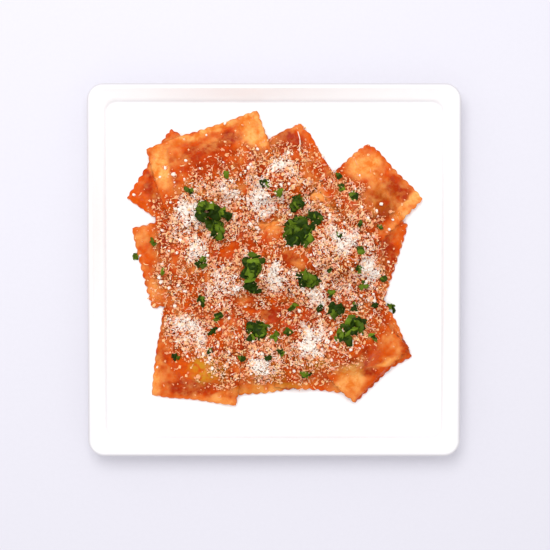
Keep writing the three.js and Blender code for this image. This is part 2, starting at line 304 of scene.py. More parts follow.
# Sides and corners that are drawn out, or blunted where the move is below zero: the way out in
# degrees, how far the end moves, and how far out from the middle the move starts, 0 to 1.
DRAWN_OUT = {
    "ravioli_front_right": (-52, 2.6, 0),
    "ravioli_left_under": (100, 2.2, 0),
    "ravioli_back": (76, -3.5, 0.76),
    "ravioli_back_right": (89, -1.4, 0.8),
}
# A filling set off the middle of its pasta: its middle and its size.
OFFSET_FILLINGS = {"ravioli_back_left_wide": ((-2.2, -0.6), (37, 36))}
FLAP = 2.1          # thickness of the sealed border, two sheets pressed together
CUT_EDGE = 1.3      # the same at the very edge, where the wheel pinches it
BORDER = 6.3        # width of the sealed border
FILLING = 7.4       # how far the filled middle stands above the border
MOUND_SQUARENESS = 3  # 2 is round, and a higher number is squarer
MOUND_FULLNESS = 2.4  # a higher number gives steeper flanks and a flatter top
FLUTE_PITCH = 4.35  # one tooth of the cutting wheel
FLUTE_DEPTH = 1.25
FLUTE_REACH = 3.2   # how far in from the cut the flutes can be seen
BLUNTING = 0.008    # how much a corner is rounded off, as a share of the side
BOWING = 0.012      # how much a side's ends fall back behind its middle, the same way
CURL_FROM = 0.62    # where a border starts to curl, between the middle at 0 and the edge at 1
SHEET_SMOOTHING = 1.4  # how softly the pasta's top follows what lies below
WORN_FLUTES = {"ravioli_back": 0.35, "ravioli_front_left": 0.7, "ravioli_back_left_wide": 0.75}
CUT_LOOPS = ((0.16, 0.72), (0.2, 0.4), (0, 0.08))  # the cut edge's bulge, and its share of the height
UNDERSIDE_LOOPS = (0.93, 0.8, 0.6, 0.3)            # loops of the underside, as shares of the outline
CLEARANCE = 0.36    # left between a raviolo and what it lies on
CELL = 0.6          # raster step of the heap's height
SAG = 0.0125 * CELL ** 2  # droop of limp pasta in each settling step
SETTLING_STEPS = int(420 / CELL ** 2)
HEAP_HALF = 96      # half the side of the raster
GRID = 89           # points along each side of a raviolo
LATTICE = 128       # random values along each side of a mottle
LATTICE_MIDDLE = 40  # the one that lies at the dish's middle

# What lies where on the heap. Each oval has its middle, its half width and half length in
# millimetres, its turn in degrees and, where it is faint, its strength.
BARE_PASTA = [
    (-61.5, 57, 4.5, 13, 17), (-12, 78, 7, 14, 19), (-38, 76, 20, 2.5, 19), (50, 58, 8, 7, 0),
    (76, 38, 3, 13, -42), (-73, 22, 5, 7, 0, 0.3), (-68, -12, 6, 9, 20, 0.35),
    (-66, -60, 3, 14, -7, 0.7), (-28, -73, 11, 4, -7, 0.6), (-8, -66, 18, 3, 6, 0.5),
    (41, -61, 9, 7, 45, 0.85), (63, -50, 9, 2.2, 28, 0.8), (69, -46, 2, 4, 0, 0.35),
    (70, -20, 4, 10, 0, 0.6), (-3, 24, 7, 4, 10, 0.75), (54, 49, 4, 3, 0, 0.3),
    (65, -38, 2.2, 5, 50, 0.35), (-21, 45, 4, 3, 0, 0.6),
    (24, 41, 5, 4, 0, 0.6), (15, 4, 3.5, 3, 0, 0.5), (32, 36, 3, 2.5, 0, 0.6),
]
# Deep sauce, darker. Some of these ovals are painted shade along the edges where one raviolo lies
# over another.
DEEP_SAUCE_AND_SHADE = [
    (-42, 64, 15, 5, 19), (-30, 70, 18, 2.5, 19), (6, 71, 10, 6, 0), (68, 45, 7, 5, -40),
    (57, 30, 9, 5, 10), (46, -49, 8, 4, 40), (9, 7, 5, 4, 0), (-1, -25, 6, 4, 0),
    (75, -40, 3.5, 10, 15), (-66, 40, 4, 8, 20), (-10, 62, 4, 10, 0), (62, 8, 4, 10, 0),
    (-8, -64, 22, 4, 4, 0.7), (51, -56, 5, 3, 20), (60, 38, 12, 9, -40, 0.8),
    (-57, 53, 3, 11, 15, 0.9), (-61, 8, 4, 13, 5, 0.7), (-62, -40, 4, 14, 5, 0.7),
    (-45, -66, 14, 4, -7), (-25, 20, 8, 5, 30, 0.6), (30, 5, 9, 4, -20, 0.6),
    (-20, -44, 9, 4, 10, 0.7), (25, -24, 4, 10, -20, 0.6), (-10, -15, 4, 8, 20, 0.6),
    (-68, 47, 2.5, 9, 15), (-38, 62, 16, 9, 19, 0.6),
]
OLIVE_SAUCE = [
    (-34, -54, 9, 6, -40), (-4, -57, 8, 4, 0), (42, -54, 6, 5, 30), (-2, -65, 20, 3, 5, 0.6),
    (24, -50, 6, 4, 30, 0.8), (59, 40, 11, 8, -40, 0.2), (-39, -55, 5, 8, 30),
]
CHEESE_FIELD = [(0, 1, 68, 66, 0)]
CHEESE_DRIFTS = [
    (-47, 32, 8, 8, 0), (-13, 45, 14, 6, 8), (-5, 37, 8, 6, 0), (-30, -9, 9, 7, 0),
    (0, -5, 7, 10, 0), (35, 15, 8, 7, 0), (22, -36, 9, 8, 0), (-50, -32, 8, 6, 20),
    (-44, -41, 9, 6, 0), (53, 1, 5, 10, 0), (-42, 14, 7, 7, 0), (-28, -61, 4.5, 8, 40),
    (23, -14, 7, 7, 0), (-8, -54, 8, 4, 0), (6, 61, 7, 6, 0),
]
CHEESE_GAPS = [
    (-35, 69, 22, 6, 19), (-13, 80, 12, 10, 19), (9, 75, 11, 6, 0), (62, 42, 11, 11, 0),
    (49, 59, 12, 9, 0), (-73, 7, 8, 22, 0), (-66, -48, 6, 20, 0), (-48, -69, 14, 6, 0),
    (-1, -67, 26, 4, 0), (60, -46, 10, 10, 0), (42, -58, 12, 6, 0), (-18, 45, 4, 4, 0),
    (-1, 22, 6, 6, 0), (28, 41, 6, 5, 0), (11, 62, 4, 3, 0), (9, 7, 5, 5, 0),
    (-1, -25, 6, 5, 0), (70, -14, 6, 16, 0), (64, 18, 7, 12, 0), (-23, 11, 4, 4, 0),
    (-37, -4, 3, 4, 0), (15, 4, 4, 3, 0), (10, -30, 4, 3, 0), (-8, -23, 5, 3, 0),
    (-39, -55, 3.5, 6.5, 30),
]

axis = np.arange(-HEAP_HALF, HEAP_HALF + CELL / 2, CELL)
heap_x, heap_y = np.meshgrid(axis, axis)
heap = np.full_like(heap_x, FLOOR_TOP)


def smooth_step(value):
    """A climb from 0 to 1 that starts and ends gently."""
    t = np.clip(value, 0, 1)
    return t * t * (3 - 2 * t)


def mottle(x, y, size, seed):
    """Smooth random values from -1 to 1, in patches about as wide as size."""
    lattice = np.random.default_rng(seed).uniform(-1, 1, (LATTICE, LATTICE))
    column, row = np.asarray(x) / size + LATTICE_MIDDLE, np.asarray(y) / size + LATTICE_MIDDLE
    i, j = np.floor(column).astype(int), np.floor(row).astype(int)
    s, t = smooth_step(column - i), smooth_step(row - j)
    i, j, after_i, after_j = i % LATTICE, j % LATTICE, (i + 1) % LATTICE, (j + 1) % LATTICE
    near = lattice[i, j] * (1 - s) + lattice[after_i, j] * s
    far = lattice[i, after_j] * (1 - s) + lattice[after_i, after_j] * s
    return near * (1 - t) + far * t


def within(x, y, ovals, seed, soft=0.45, ragged=2.2):
    """How far each point lies inside any of some ovals with ragged edges, from 0 to 1."""
    x = x + ragged * mottle(x, y, 5, seed) + 0.4 * ragged * mottle(x, y, 1.6, seed + 1)
    y = y + ragged * mottle(x, y, 5, seed + 2) + 0.4 * ragged * mottle(x, y, 1.6, seed + 3)
    most = np.zeros_like(x)
    for middle_x, middle_y, half_width, half_length, turn, *faint in ovals:
        cos, sin = math.cos(math.radians(turn)), math.sin(math.radians(turn))
        across = ((x - middle_x) * cos + (y - middle_y) * sin) / half_width
        along = ((y - middle_y) * cos - (x - middle_x) * sin) / half_length
        deep = smooth_step((1 + soft - np.hypot(across, along)) / (2 * soft))
        most = np.maximum(most, deep * (faint[0] if faint else 1))
    return most


def cheese_at(x, y):
    """How thickly cheese was grated over each point, from 0 to 1."""
    field = within(x, y, CHEESE_FIELD, 11, soft=0.22, ragged=5)
    drifts = within(x, y, CHEESE_DRIFTS, 21, soft=0.6, ragged=5)
    gaps = within(x, y, CHEESE_GAPS, 31, soft=0.35, ragged=3)
    uneven = 0.7 + 0.3 * mottle(x, y, 9, 41) + 0.4 * mottle(x, y, 3.2, 42)
    return np.clip(field * np.clip(0.47 * uneven + 0.5 * drifts, 0, 1) * (1 - 0.9 * gaps), 0, 1)


def paint(piece, x, y):
    """Stores on a piece's points how much of each part of the topping they carry, with painted shade
    in the sauce's depth.
    """
    cover = 1 - within(x, y, BARE_PASTA, 51, soft=0.65)
    cover = np.clip(cover * (0.88 + 0.3 * mottle(x, y, 6, 52) + 0.22 * mottle(x, y, 2, 53)), 0, 1)
    deep = within(x, y, DEEP_SAUCE_AND_SHADE, 61, soft=0.5)
    # Painted shade: the sauce is darkened where the cheese lies, for the shade between its grains.
    deep = deep + 0.25 * within(x, y, CHEESE_FIELD, 11, soft=0.14, ragged=5)
    deep = np.clip(deep + 0.22 * mottle(x, y, 8, 62) + 0.22 * mottle(x, y, 2.6, 63), 0, 1)
    fields = {
        "sauce_cover": cover,
        "sauce_depth_and_shade": deep,
        "olive_oil": within(x, y, OLIVE_SAUCE, 71, soft=0.6),
        "melted_cheese": cheese_at(x, y),
    }
    for name, values in fields.items():
        store(piece, name, values)


def lie_of(node):
    """A raviolo's middle, its half sides and its turn, from the tightest box round its solid."""
    corners = np.array([v.co[:2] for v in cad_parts[node].data.vertices]) / MM
    tightest = None
    for turn in np.radians(np.arange(-45, 45, 0.5)):
        along = np.array([[math.cos(turn), math.sin(turn)], [-math.sin(turn), math.cos(turn)]])
        own = corners @ along.T
        low, high = own.min(0), own.max(0)
        area = np.prod(high - low)
        if tightest is None or area < tightest[0]:
            tightest = (area, along.T @ ((low + high) / 2), (high - low) / 2, along)
    return {"node": node, "middle": tightest[1], "half": tightest[2], "along": tightest[3]}


def own_frame(lie, x, y):
    """Points of the heap in a raviolo's own frame, along its sides."""
    dx, dy = x - lie["middle"][0], y - lie["middle"][1]
    (a, b), (c, d) = lie["along"]
    return dx * a + dy * b, dx * c + dy * d


def heap_frame(lie, u, v):
    """Points of a raviolo's own frame, back on the heap."""
    (a, b), (c, d) = lie["along"]
    return lie["middle"][0] + u * a + v * c, lie["middle"][1] + u * b + v * d


def thickness(lie, u, v):
    """The sealed border, the filled mound inside it and the lumps of the filling."""
    middle, size = OFFSET_FILLINGS.get(lie["node"], ((0, 0), 2 * (lie["half"] - BORDER)))
    across, along = np.abs(u - middle[0]) * 2 / size[0], np.abs(v - middle[1]) * 2 / size[1]
    outward = (across ** MOUND_SQUARENESS + along ** MOUND_SQUARENESS) ** (1 / MOUND_SQUARENESS)
    dome = np.sqrt(np.maximum(0, 1 - np.minimum(outward, 1) ** MOUND_FULLNESS))
    mound = dome * smooth_step((1.02 - outward) / 0.35)
    seed = 100 + LAID.index(lie["node"])
    lumps = 0.55 * mottle(u, v, 6, seed) + 0.25 * mottle(u, v, 2.6, seed + 50)
    to_edge = np.minimum(lie["half"][0] - np.abs(u), lie["half"][1] - np.abs(v))
    edge = CUT_EDGE + (FLAP - CUT_EDGE) * smooth_step((to_edge + 0.5) / 2)
    ripple = 0.18 * mottle(u, v, 3, seed + 90) * smooth_step(to_edge / 2)
    return edge + FILLING * mound + lumps * np.minimum(1, mound * 2) + ripple


def curl(lie, x, y):
    """How far a curled border stands up."""
    if lie["node"] not in CURLS:
        return np.zeros_like(x)
    toward, rise = CURLS[lie["node"]]
    way = np.array([math.cos(math.radians(toward)), math.sin(math.radians(toward))])
    reach = np.abs(lie["along"] @ way) @ lie["half"]
    along = ((x - lie["middle"][0]) * way[0] + (y - lie["middle"][1]) * way[1]) / reach
    return rise * np.clip((along - CURL_FROM) / (1 - CURL_FROM), 0, 1) ** 2


def sampled(field, x, y):
    """A field of the heap's raster between its cells."""
    column = np.clip((np.asarray(x) + HEAP_HALF) / CELL, 0, len(axis) - 1.001)
    row = np.clip((np.asarray(y) + HEAP_HALF) / CELL, 0, len(axis) - 1.001)
    i, j = column.astype(int), row.astype(int)
    s, t = column - i, row - j
    near = field[j, i] * (1 - s) + field[j, i + 1] * s
    far = field[j + 1, i] * (1 - s) + field[j + 1, i + 1] * s
    return near * (1 - t) + far * t


def blurred(field, width):
    """A raster smoothed over about width millimetres."""
    reach = int(math.ceil(2.5 * width / CELL))
    steps = np.arange(-reach, reach + 1)
    weights = np.exp(-0.5 * (steps * CELL / width) ** 2)
    weights /= weights.sum()
    for direction in (0, 1):
        field = sum(w * np.roll(field, k, direction) for k, w in zip(steps, weights))
    return field


def swollen(field):
    """The highest of each cell of a raster and the eight round it."""
    for direction in (0, 1):
        beside = np.maximum(np.roll(field, 1, direction), np.roll(field, -1, direction))
        field = np.maximum(field, beside)
    return field


def draped(lie):
    """A limp sheet settled on the heap: its underside, and the smoother line of its top."""
    u, v = own_frame(lie, heap_x, heap_y)
    inside = (np.abs(u) < lie["half"][0] + 2 * CELL) & (np.abs(v) < lie["half"][1] + 2 * CELL)
    rows, columns = np.flatnonzero(inside.any(1)), np.flatnonzero(inside.any(0))
    window = np.s_[rows[0] - 2:rows[-1] + 3, columns[0] - 2:columns[-1] + 3]
    rest, mask = (swollen(heap) + CLEARANCE)[window], inside[window]
    sides = [(1, 0), (-1, 0), (1, 1), (-1, 1)]
    joined = [np.roll(mask, step, direction) for step, direction in sides]
    sheet = rest.copy()
    for _ in range(SETTLING_STEPS):
        total = sum(
            np.where(there, np.roll(sheet, step, direction), sheet)
            for (step, direction), there in zip(sides, joined)
        )
        sheet = np.where(mask, np.maximum(rest, total / 4 - SAG), sheet)
    below = swollen(heap) + CLEARANCE
    below[window] = sheet
    share = np.maximum(blurred(inside.astype(float), SHEET_SMOOTHING), 1e-6)
    smoothed = blurred(np.where(inside, below, 0), SHEET_SMOOTHING) / share
    line = np.where(inside, smoothed, below)
    return below, line


def top_of(lie, below, line, x, y):
    """The height of a raviolo's upper side."""
    u, v = own_frame(lie, x, y)
    thick = thickness(lie, u, v)
    over = np.maximum(sampled(line, x, y) + thick, sampled(below, x, y) + 0.8 * thick)
    return over + curl(lie, x, y)


def drawn_out(lie, u, v):
    """How far each point of a drawn-out side or corner moves."""
    if lie["node"] not in DRAWN_OUT:
        return 0, 0
    toward, far, start = DRAWN_OUT[lie["node"]]
    way = lie["along"] @ (math.cos(math.radians(toward)), math.sin(math.radians(toward)))
    reach = np.abs(way) @ lie["half"]
    share = far * smooth_step(((u * way[0] + v * way[1]) / reach - start) / (1 - start))
    return share * way[0], share * way[1]


def fluted(lie, s, t):
    """A square of -1 to 1 each way drawn out to a raviolo's outline, with its fluted cut."""
    half_u, half_v = lie["half"]
    blunt = 1 - BLUNTING * np.abs(s * t) ** 10
    u = half_u * s * np.sqrt(1 - BOWING * t * t) * blunt
    v = half_v * t * np.sqrt(1 - BOWING * s * s) * blunt
    seed = 300 + LAID.index(lie["node"])
    shift_u, shift_v = 0.7 * mottle(u, v, 15, seed), 0.7 * mottle(u, v, 15, seed + 50)
    drawn = []
    for own, half, other, other_half in ((u, half_u, v, half_v), (v, half_v, u, half_u)):
        pitch = 2 * other_half / round(2 * other_half / FLUTE_PITCH)
        lobe = np.abs(np.cos(math.pi * (other + 0.6 * mottle(other, own, 7, seed + 80)) / pitch))
        near_edge = np.clip(1 - (half - np.abs(own)) / FLUTE_REACH, 0, 1) ** 1.5
        depth = FLUTE_DEPTH * WORN_FLUTES.get(lie["node"], 1)
        depth = depth * (0.75 + 0.45 * mottle(u, v, 9, seed + 120))
        depth = depth * smooth_step((other_half - np.abs(other)) / 2.5)
        drawn.append(own + np.sign(own) * near_edge * depth * (lobe - 0.6))
    out_u, out_v = drawn_out(lie, u, v)
    return drawn[0] + shift_u + out_u, drawn[1] + shift_v + out_v


def raviolo(lie, material):
    """One raviolo: its upper side on an even grid, a rounded cut edge and its underside."""
    below, line = draped(lie)
    even = np.linspace(-1, 1, GRID)
    s, t = np.meshgrid(even, even, indexing="ij")
    x, y = heap_frame(lie, *fluted(lie, s.ravel(), t.ravel()))
    top = np.stack([x, y, top_of(lie, below, line, x, y)], 1)
    faces = rows_of_quads(GRID, GRID, closed=False).tolist()

    last = GRID - 1
    steps = np.arange(last)
    ring = np.concatenate([
        steps * GRID, last * GRID + steps, (last - steps) * GRID + last, last - steps
    ])
    ring_s, ring_t = s.ravel()[ring], t.ravel()[ring]
    count = len(ring)
    edge_x, edge_y = x[ring], y[ring]
    foot = sampled(below, edge_x, edge_y) + curl(lie, edge_x, edge_y)
    outward = np.stack([edge_x, edge_y], 1) - lie["middle"]
    outward /= np.linalg.norm(outward, axis=1)[:, None]
    loops = []
    for out, share in CUT_LOOPS:
        height = foot + share * (top[ring, 2] - foot)
        loops.append(np.column_stack([np.stack([edge_x, edge_y], 1) + out * outward, height]))
    for scale in UNDERSIDE_LOOPS:
        in_x, in_y = heap_frame(lie, *fluted(lie, scale * ring_s, scale * ring_t))
        height = sampled(below, in_x, in_y) + curl(lie, in_x, in_y)
        loops.append(np.stack([in_x, in_y, height], 1))
    middle = np.array([[*lie["middle"], float(sampled(below, *lie["middle"]))]])
    start = len(top)
    ahead = np.roll(np.arange(count), -1)
    first = np.stack([ring, np.arange(count) + start, ahead + start, ring[ahead]], 1)
    faces += first.tolist()
    faces += (rows_of_quads(len(loops), count, closed=True)[:, ::-1] + start).tolist()
    inner = start + (len(loops) - 1) * count
    points = np.vstack([top, *loops, middle])
    faces += [(inner + a, len(points) - 1, inner + b) for a, b in zip(range(count), ahead)]
    piece = piece_of(lie["node"].replace("ravioli", "raviolo"), points, faces, material)
    paint(piece, points[:, 0], points[:, 1])

    u, v = own_frame(lie, heap_x, heap_y)
    covered = (np.abs(u) < lie["half"][0]) & (np.abs(v) < lie["half"][1])
    upper = top_of(lie, below, line, heap_x, heap_y)
    heap[covered] = np.maximum(heap, upper)[covered]
    return piece


def topping_group():
    """The colour of tomato sauce over pasta, and how wet it is, for the pasta and the sauce."""
    group = bpy.data.node_groups.new("tomato_sauce_tone", "ShaderNodeTree")
    for name in ("Cover", "Depth", "Olive", "Cheese"):
        group.interface.new_socket(name, in_out="INPUT", socket_type="NodeSocketFloat")
    group.interface.new_socket("Colour", in_out="OUTPUT", socket_type="NodeSocketColor")
    group.interface.new_socket("Roughness", in_out="OUTPUT", socket_type="NodeSocketFloat")
    group.interface.new_socket("Height", in_out="OUTPUT", socket_type="NodeSocketFloat")
    given = group.nodes.new("NodeGroupInput").outputs
    pulp = noise_of(group, 1.5, detail=4, rough=0.6)
    patches = noise_of(group, 6, detail=3, rough=0.6)
    oily = noise_of(group, 3, detail=2)
    streaks = noise_of(group, 5, detail=4, rough=0.65)
    specks = noise_of(group, 0.8, detail=2)
    pale = mixed(group, ramp_of(group, pulp, 0.3, 0.7), linear(232, 146, 62), linear(246, 184, 108))
    bare = mixed(group, ramp_of(group, streaks, 0.36, 0.6), linear(222, 116, 32), pale)
    depth = counted(group, "ADD", given["Depth"], counted(group, "SUBTRACT", patches, 0.5))
    thin = mixed(group, ramp_of(group, pulp, 0.35, 0.65), linear(198, 61, 1), linear(220, 94, 7))
    full = mixed(group, ramp_of(group, pulp, 0.3, 0.7), linear(166, 38, 1), linear(206, 71, 3))
    sauce = mixed(group, ramp_of(group, depth, -0.15, 0.4), thin, full)
    # The darkest sauce, where the depth is highest; this also carries the painted shade under the
    # cheese and along the ravioli's overlaps.
    dark = mixed(group, pulp, linear(134, 26, 1), linear(174, 46, 2))
    sauce = mixed(group, ramp_of(group, depth, 0.45, 1.1), sauce, dark)
    olive = counted(group, "MULTIPLY", given["Olive"], ramp_of(group, oily, 0.3, 0.52))
    sauce = mixed(group, counted(group, "MULTIPLY", olive, 0.8), sauce, linear(192, 142, 34))
    spread = counted(group, "ADD", given["Cover"], counted(group, "SUBTRACT", pulp, 0.5))
    colour = mixed(group, ramp_of(group, spread, 0.1, 1.0), bare, sauce)
    milky = counted(group, "MULTIPLY", given["Cheese"], ramp_of(group, pulp, 0.3, 0.6))
    milky = counted(group, "MULTIPLY", milky, 0.22)
    colour = mixed(group, milky, colour, linear(220, 112, 36))
    under_cheese = ramp_of(group, given["Cheese"], 0.05, 0.4)
    shadowed = counted(group, "MULTIPLY", under_cheese, ramp_of(group, specks, 0.44, 0.52))
    shadowed = counted(group, "MULTIPLY", shadowed, 0.85)
    colour = mixed(group, shadowed, colour, linear(74, 28, 3))
    out = group.nodes.new("NodeGroupOutput")
    group.links.new(colour, out.inputs["Colour"])
    wet = ramp_of(group, spread, 0.1, 0.9)
    rough = add(group, "MapRange", {"Value": wet, "To Min": 0.5, "To Max": 0.24}).outputs["Result"]
    group.links.new(rough, out.inputs["Roughness"])
    group.links.new(pulp, out.inputs["Height"])
    return group


TOPPING = topping_group()


def topped(tree, shader, bump):
    """Feeds a shader from the shared sauce colours and the amounts stored on the piece."""
    stored = (
        ("Cover", "sauce_cover"), ("Depth", "sauce_depth_and_shade"), ("Olive", "olive_oil"),
        ("Cheese", "melted_cheese"),
    )
    made = tree.nodes.new("ShaderNodeGroup")
    made.node_tree = TOPPING
    for name, attribute in stored:
        field = add(tree, "Attribute", attribute_name=attribute)
        tree.links.new(field.outputs["Fac"], made.inputs[name])
    tree.links.new(made.outputs["Colour"], shader.inputs["Base Color"])
    tree.links.new(made.outputs["Roughness"], shader.inputs["Roughness"])
    tree.links.new(bump_of(tree, made.outputs["Height"], bump), shader.inputs["Normal"])


pasta, tree, shader = new_material("cooked_egg_pasta")
topped(tree, shader, 0.25)
shader.inputs["Subsurface Weight"].default_value = 0.12
shader.inputs["Subsurface Radius"].default_value = (1, 0.5, 0.25)
shader.inputs["Subsurface Scale"].default_value = 1.2 * MM
shader.inputs["Specular IOR Level"].default_value = 0.1

for node in LAID:
    made = raviolo(lie_of(node), pasta)
    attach(made, "root")
    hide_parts(node)

# ------------------------------------------------------------------ tomato sauce
# A coarse tomato sauce spooned over the heap. It fills the valleys between the ravioli, and
# thins out to nothing over their bare borders.

SAUCE_STEP = 0.6       # grid step of the sauce's surface
SAUCE_HALF = 84        # half the side of that grid
SAUCE_DEPTH = 1.2      # from the sauce's surface down to its hidden underside
FILM = 0.3             # thickness where it only coats the pasta
DEEPEST_POOL = 1.7
POOLING = 1.7          # how far the sauce's surface smooths out what lies below
TUCK = 0.6             # how far its thinning rim dips into the pasta
SHOWING = -0.25        # it is left out where it stays lower than this over the pasta
NOTCH_CELLS = 4        # gaps narrower than twice this, in cells of the heap, are sealed
BANK_CELLS = 4         # the sauce in a valley stays this far from the open plate
VALLEY = 5             # how far round a valley the ravioli set the level of its sauce
VALLEY_FILL = 0.72     # how far up to that level the sauce fills the valley


def grown(mask, cells):
    """A mask of the heap's raster spread outwards by some cells."""
    for _ in range(cells):
        mask = swollen(mask.astype(float)) > 0
    return mask


pasta_here = heap > FLOOR_TOP + 0.5
sealed = ~grown(~grown(pasta_here, NOTCH_CELLS), NOTCH_CELLS)
outside = np.zeros_like(sealed)
outside[0, 0] = True
reached = 0
while outside.sum() > reached:
    reached = outside.sum()
    outside = (swollen(outside.astype(float)) > 0) & ~sealed
sauced_here = pasta_here | ~grown(outside, BANK_CELLS)
nearby = blurred(np.where(pasta_here, heap, 0), VALLEY)
nearby = nearby / np.maximum(blurred(pasta_here.astype(float), VALLEY), 1e-6)
bed = np.where(pasta_here, heap, np.where(sauced_here, VALLEY_FILL * nearby, FLOOR_TOP))
pooled = np.minimum(blurred(bed, POOLING) + FILM, bed + DEEPEST_POOL)
sauce_axis = np.arange(-SAUCE_HALF, SAUCE_HALF + SAUCE_STEP / 2, SAUCE_STEP)
x, y = np.meshgrid(sauce_axis, sauce_axis, indexing="ij")
x, y = x.ravel(), y.ravel()
pasta_top = sampled(bed, x, y)
spooned = 1 - within(x, y, BARE_PASTA, 51, soft=0.65) + 0.2 * mottle(x, y, 2.4, 84)
pulp = 0.22 * mottle(x, y, 2.2, 81) + 0.14 * mottle(x, y, 1.2, 82) + 0.25 * mottle(x, y, 5, 83)
well_inside = sampled(blurred(sauced_here.astype(float), 1.2), x, y)
held = smooth_step((well_inside - 0.62) / 0.3) * smooth_step((spooned - 0.3) / 0.6)
height = sampled(pooled, x, y) + pulp
tucked = pasta_top - TUCK + (height - pasta_top + TUCK) * held
height = np.where(held > 0, tucked, pasta_top - 1)
height = np.maximum(height, FLOOR_TOP + 0.2)
count = len(sauce_axis)
quads = rows_of_quads(count, count, closed=False)
shown = (held[quads] > 0).all(1) & ((height - pasta_top)[quads].max(1) > SHOWING)
quads = quads[shown]
used, quads = np.unique(quads, return_inverse=True)
quads = quads.reshape(-1, 4)
top = np.stack([x[used], y[used], height[used]], 1)
under = top - (0, 0, SAUCE_DEPTH)
edges = np.concatenate([quads[:, [k, (k + 1) % 4]] for k in range(4)])
known = {tuple(edge) for edge in edges.tolist()}
rim = [(a, b) for a, b in known if (b, a) not in known]
below_start = len(top)
faces = quads.tolist() + (quads[:, ::-1] + below_start).tolist()
faces += [(b, a, a + below_start, b + below_start) for a, b in sorted(rim)]
points = np.vstack([top, under])

tomato, tree, shader = new_material("tomato_sauce")
topped(tree, shader, 0.35)
shader.inputs["Subsurface Weight"].default_value = 0.08
shader.inputs["Subsurface Radius"].default_value = (1, 0.3, 0.1)
shader.inputs["Subsurface Scale"].default_value = 0.8 * MM
shader.inputs["Specular IOR Level"].default_value = 0.1
sauce = piece_of("tomato_sauce", points, faces, tomato)
paint(sauce, points[:, 0], points[:, 1])
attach(sauce, "root")
topmost = np.where(sauced_here, np.maximum(bed, pooled), bed)

# ------------------------------------------------------------------ grated cheese
# Hard cheese from a fine grater: crumbly grains, short curled shreds and a few larger
# crumbs. It drifts up in some places, and melts a little where it meets the sauce.

GRAINS = 11500
GRAIN_SIZES = (0.35, 1.6)
SHREDS = 4400
SHRED_LENGTHS = (1.7, 3.5)
SHRED_WIDTHS = (0.24, 0.42)
SHRED_CUTS = 4        # points along a shred, from end to end
CRUMBS = 150
CRUMB_SIZES = (1.2, 2.5)
CRUMB_WHITENESS = 0.85
DRIFT_HEIGHT = 1.0    # how high the thickest drifts pile up
cheese_draw = np.random.default_rng(7)

CUBE = np.array([(x, y, z) for x in (-1, 1) for y in (-1, 1) for z in (-1, 1)], float) / 2
CUBE_FACES = np.array([
    (0, 1, 3, 2), (4, 6, 7, 5), (0, 4, 5, 1), (2, 3, 7, 6), (0, 2, 6, 4), (1, 5, 7, 3)
])


def turns(count, draw, flat):
    """Random turns as matrices. With flat at 1 they keep their upper side up."""
    yaw = draw.uniform(0, 2 * math.pi, count)
    tip = draw.normal(0, 1, (count, 2)) * (1.2 - flat)
    (cy, sy), (ca, sa), (cb, sb) = [(np.cos(q), np.sin(q)) for q in (yaw, tip[:, 0], tip[:, 1])]
    zero, one = np.zeros(count), np.ones(count)
    about_z = np.array([[cy, -sy, zero], [sy, cy, zero], [zero, zero, one]])
    about_x = np.array([[one, zero, zero], [zero, ca, -sa], [zero, sa, ca]])
    about_y = np.array([[cb, zero, sb], [zero, one, zero], [-sb, zero, cb]])
    return np.einsum("ijn,jkn,kln->nil", about_x, about_y, about_z)


def strewn(count, draw, chance):
    """Places on the heap, drawn one by one and kept with the chance that each has there."""
    kept = np.zeros((0, 2))
    while len(kept) < count:
        tried = draw.uniform(-SAUCE_HALF, SAUCE_HALF, (count * 4, 2))
        likely = chance(tried[:, 0], tried[:, 1]) > draw.uniform(0, 1, len(tried))
        likely &= sampled(bed, tried[:, 0], tried[:, 1]) > FLOOR_TOP + 1
        kept = np.vstack([kept, tried[likely]])
    return kept[:count]


def scattered(name, shapes, places, faces, material, smooth=False):
    """One piece from many copies: each one's own points, and the place where it lies."""
    count, size = shapes.shape[:2]
    points = (shapes + places[:, None, :]).reshape(-1, 3)
    faces = (faces[None] + (np.arange(count) * size)[:, None, None]).reshape(-1, faces.shape[1])
    piece = piece_of(name, points, faces, material, smooth)
    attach(piece, "root")
    return piece


cheese, tree, shader = new_material("grated_hard_cheese")
whiteness = add(tree, "Attribute", attribute_name="whiteness").outputs["Fac"]
crumb = noise_of(tree, 0.7, detail=3)
fat = ramp_of(tree, noise_of(tree, 2.2), 0.35, 0.65)
stained = mixed(tree, fat, linear(238, 146, 106), linear(252, 204, 142))
clean = mixed(tree, crumb, linear(250, 236, 220), linear(254, 249, 242))
tree.links.new(mixed(tree, whiteness, stained, clean), shader.inputs["Base Color"])
tree.links.new(bump_of(tree, crumb, 0.12), shader.inputs["Normal"])
shader.inputs["Roughness"].default_value = 0.55
shader.inputs["Subsurface Weight"].default_value = 0.15
shader.inputs["Subsurface Radius"].default_value = (1, 0.7, 0.5)
shader.inputs["Subsurface Scale"].default_value = 0.8 * MM

# The fine grains.
flat_places = strewn(GRAINS, cheese_draw, lambda x, y: cheese_at(x, y) ** 1.1 + 0.01)
dense = cheese_at(flat_places[:, 0], flat_places[:, 1])
size = cheese_draw.gamma(5, 0.132, GRAINS).clip(*GRAIN_SIZES)
shapes = CUBE[None] * (1 + cheese_draw.normal(0, 0.22, (GRAINS, 8, 3)))
shapes = shapes * cheese_draw.uniform(0.55, 1.15, (GRAINS, 1, 3)) * size[:, None, None]
shapes = np.einsum("nij,nkj->nki", turns(GRAINS, cheese_draw, 0.2), shapes)
pile = dense ** 2 * cheese_draw.uniform(0, DRIFT_HEIGHT, GRAINS)
height = sampled(topmost, flat_places[:, 0], flat_places[:, 1]) + 0.2 * size + pile
places = np.column_stack([flat_places, height])
grains = scattered("cheese_grains", shapes, places, CUBE_FACES, cheese)
whiteness = 1.9 * dense - 0.8 + cheese_draw.normal(0, 0.4, GRAINS)
store(grains, "whiteness", np.repeat(np.clip(whiteness, 0, 1), len(CUBE)))

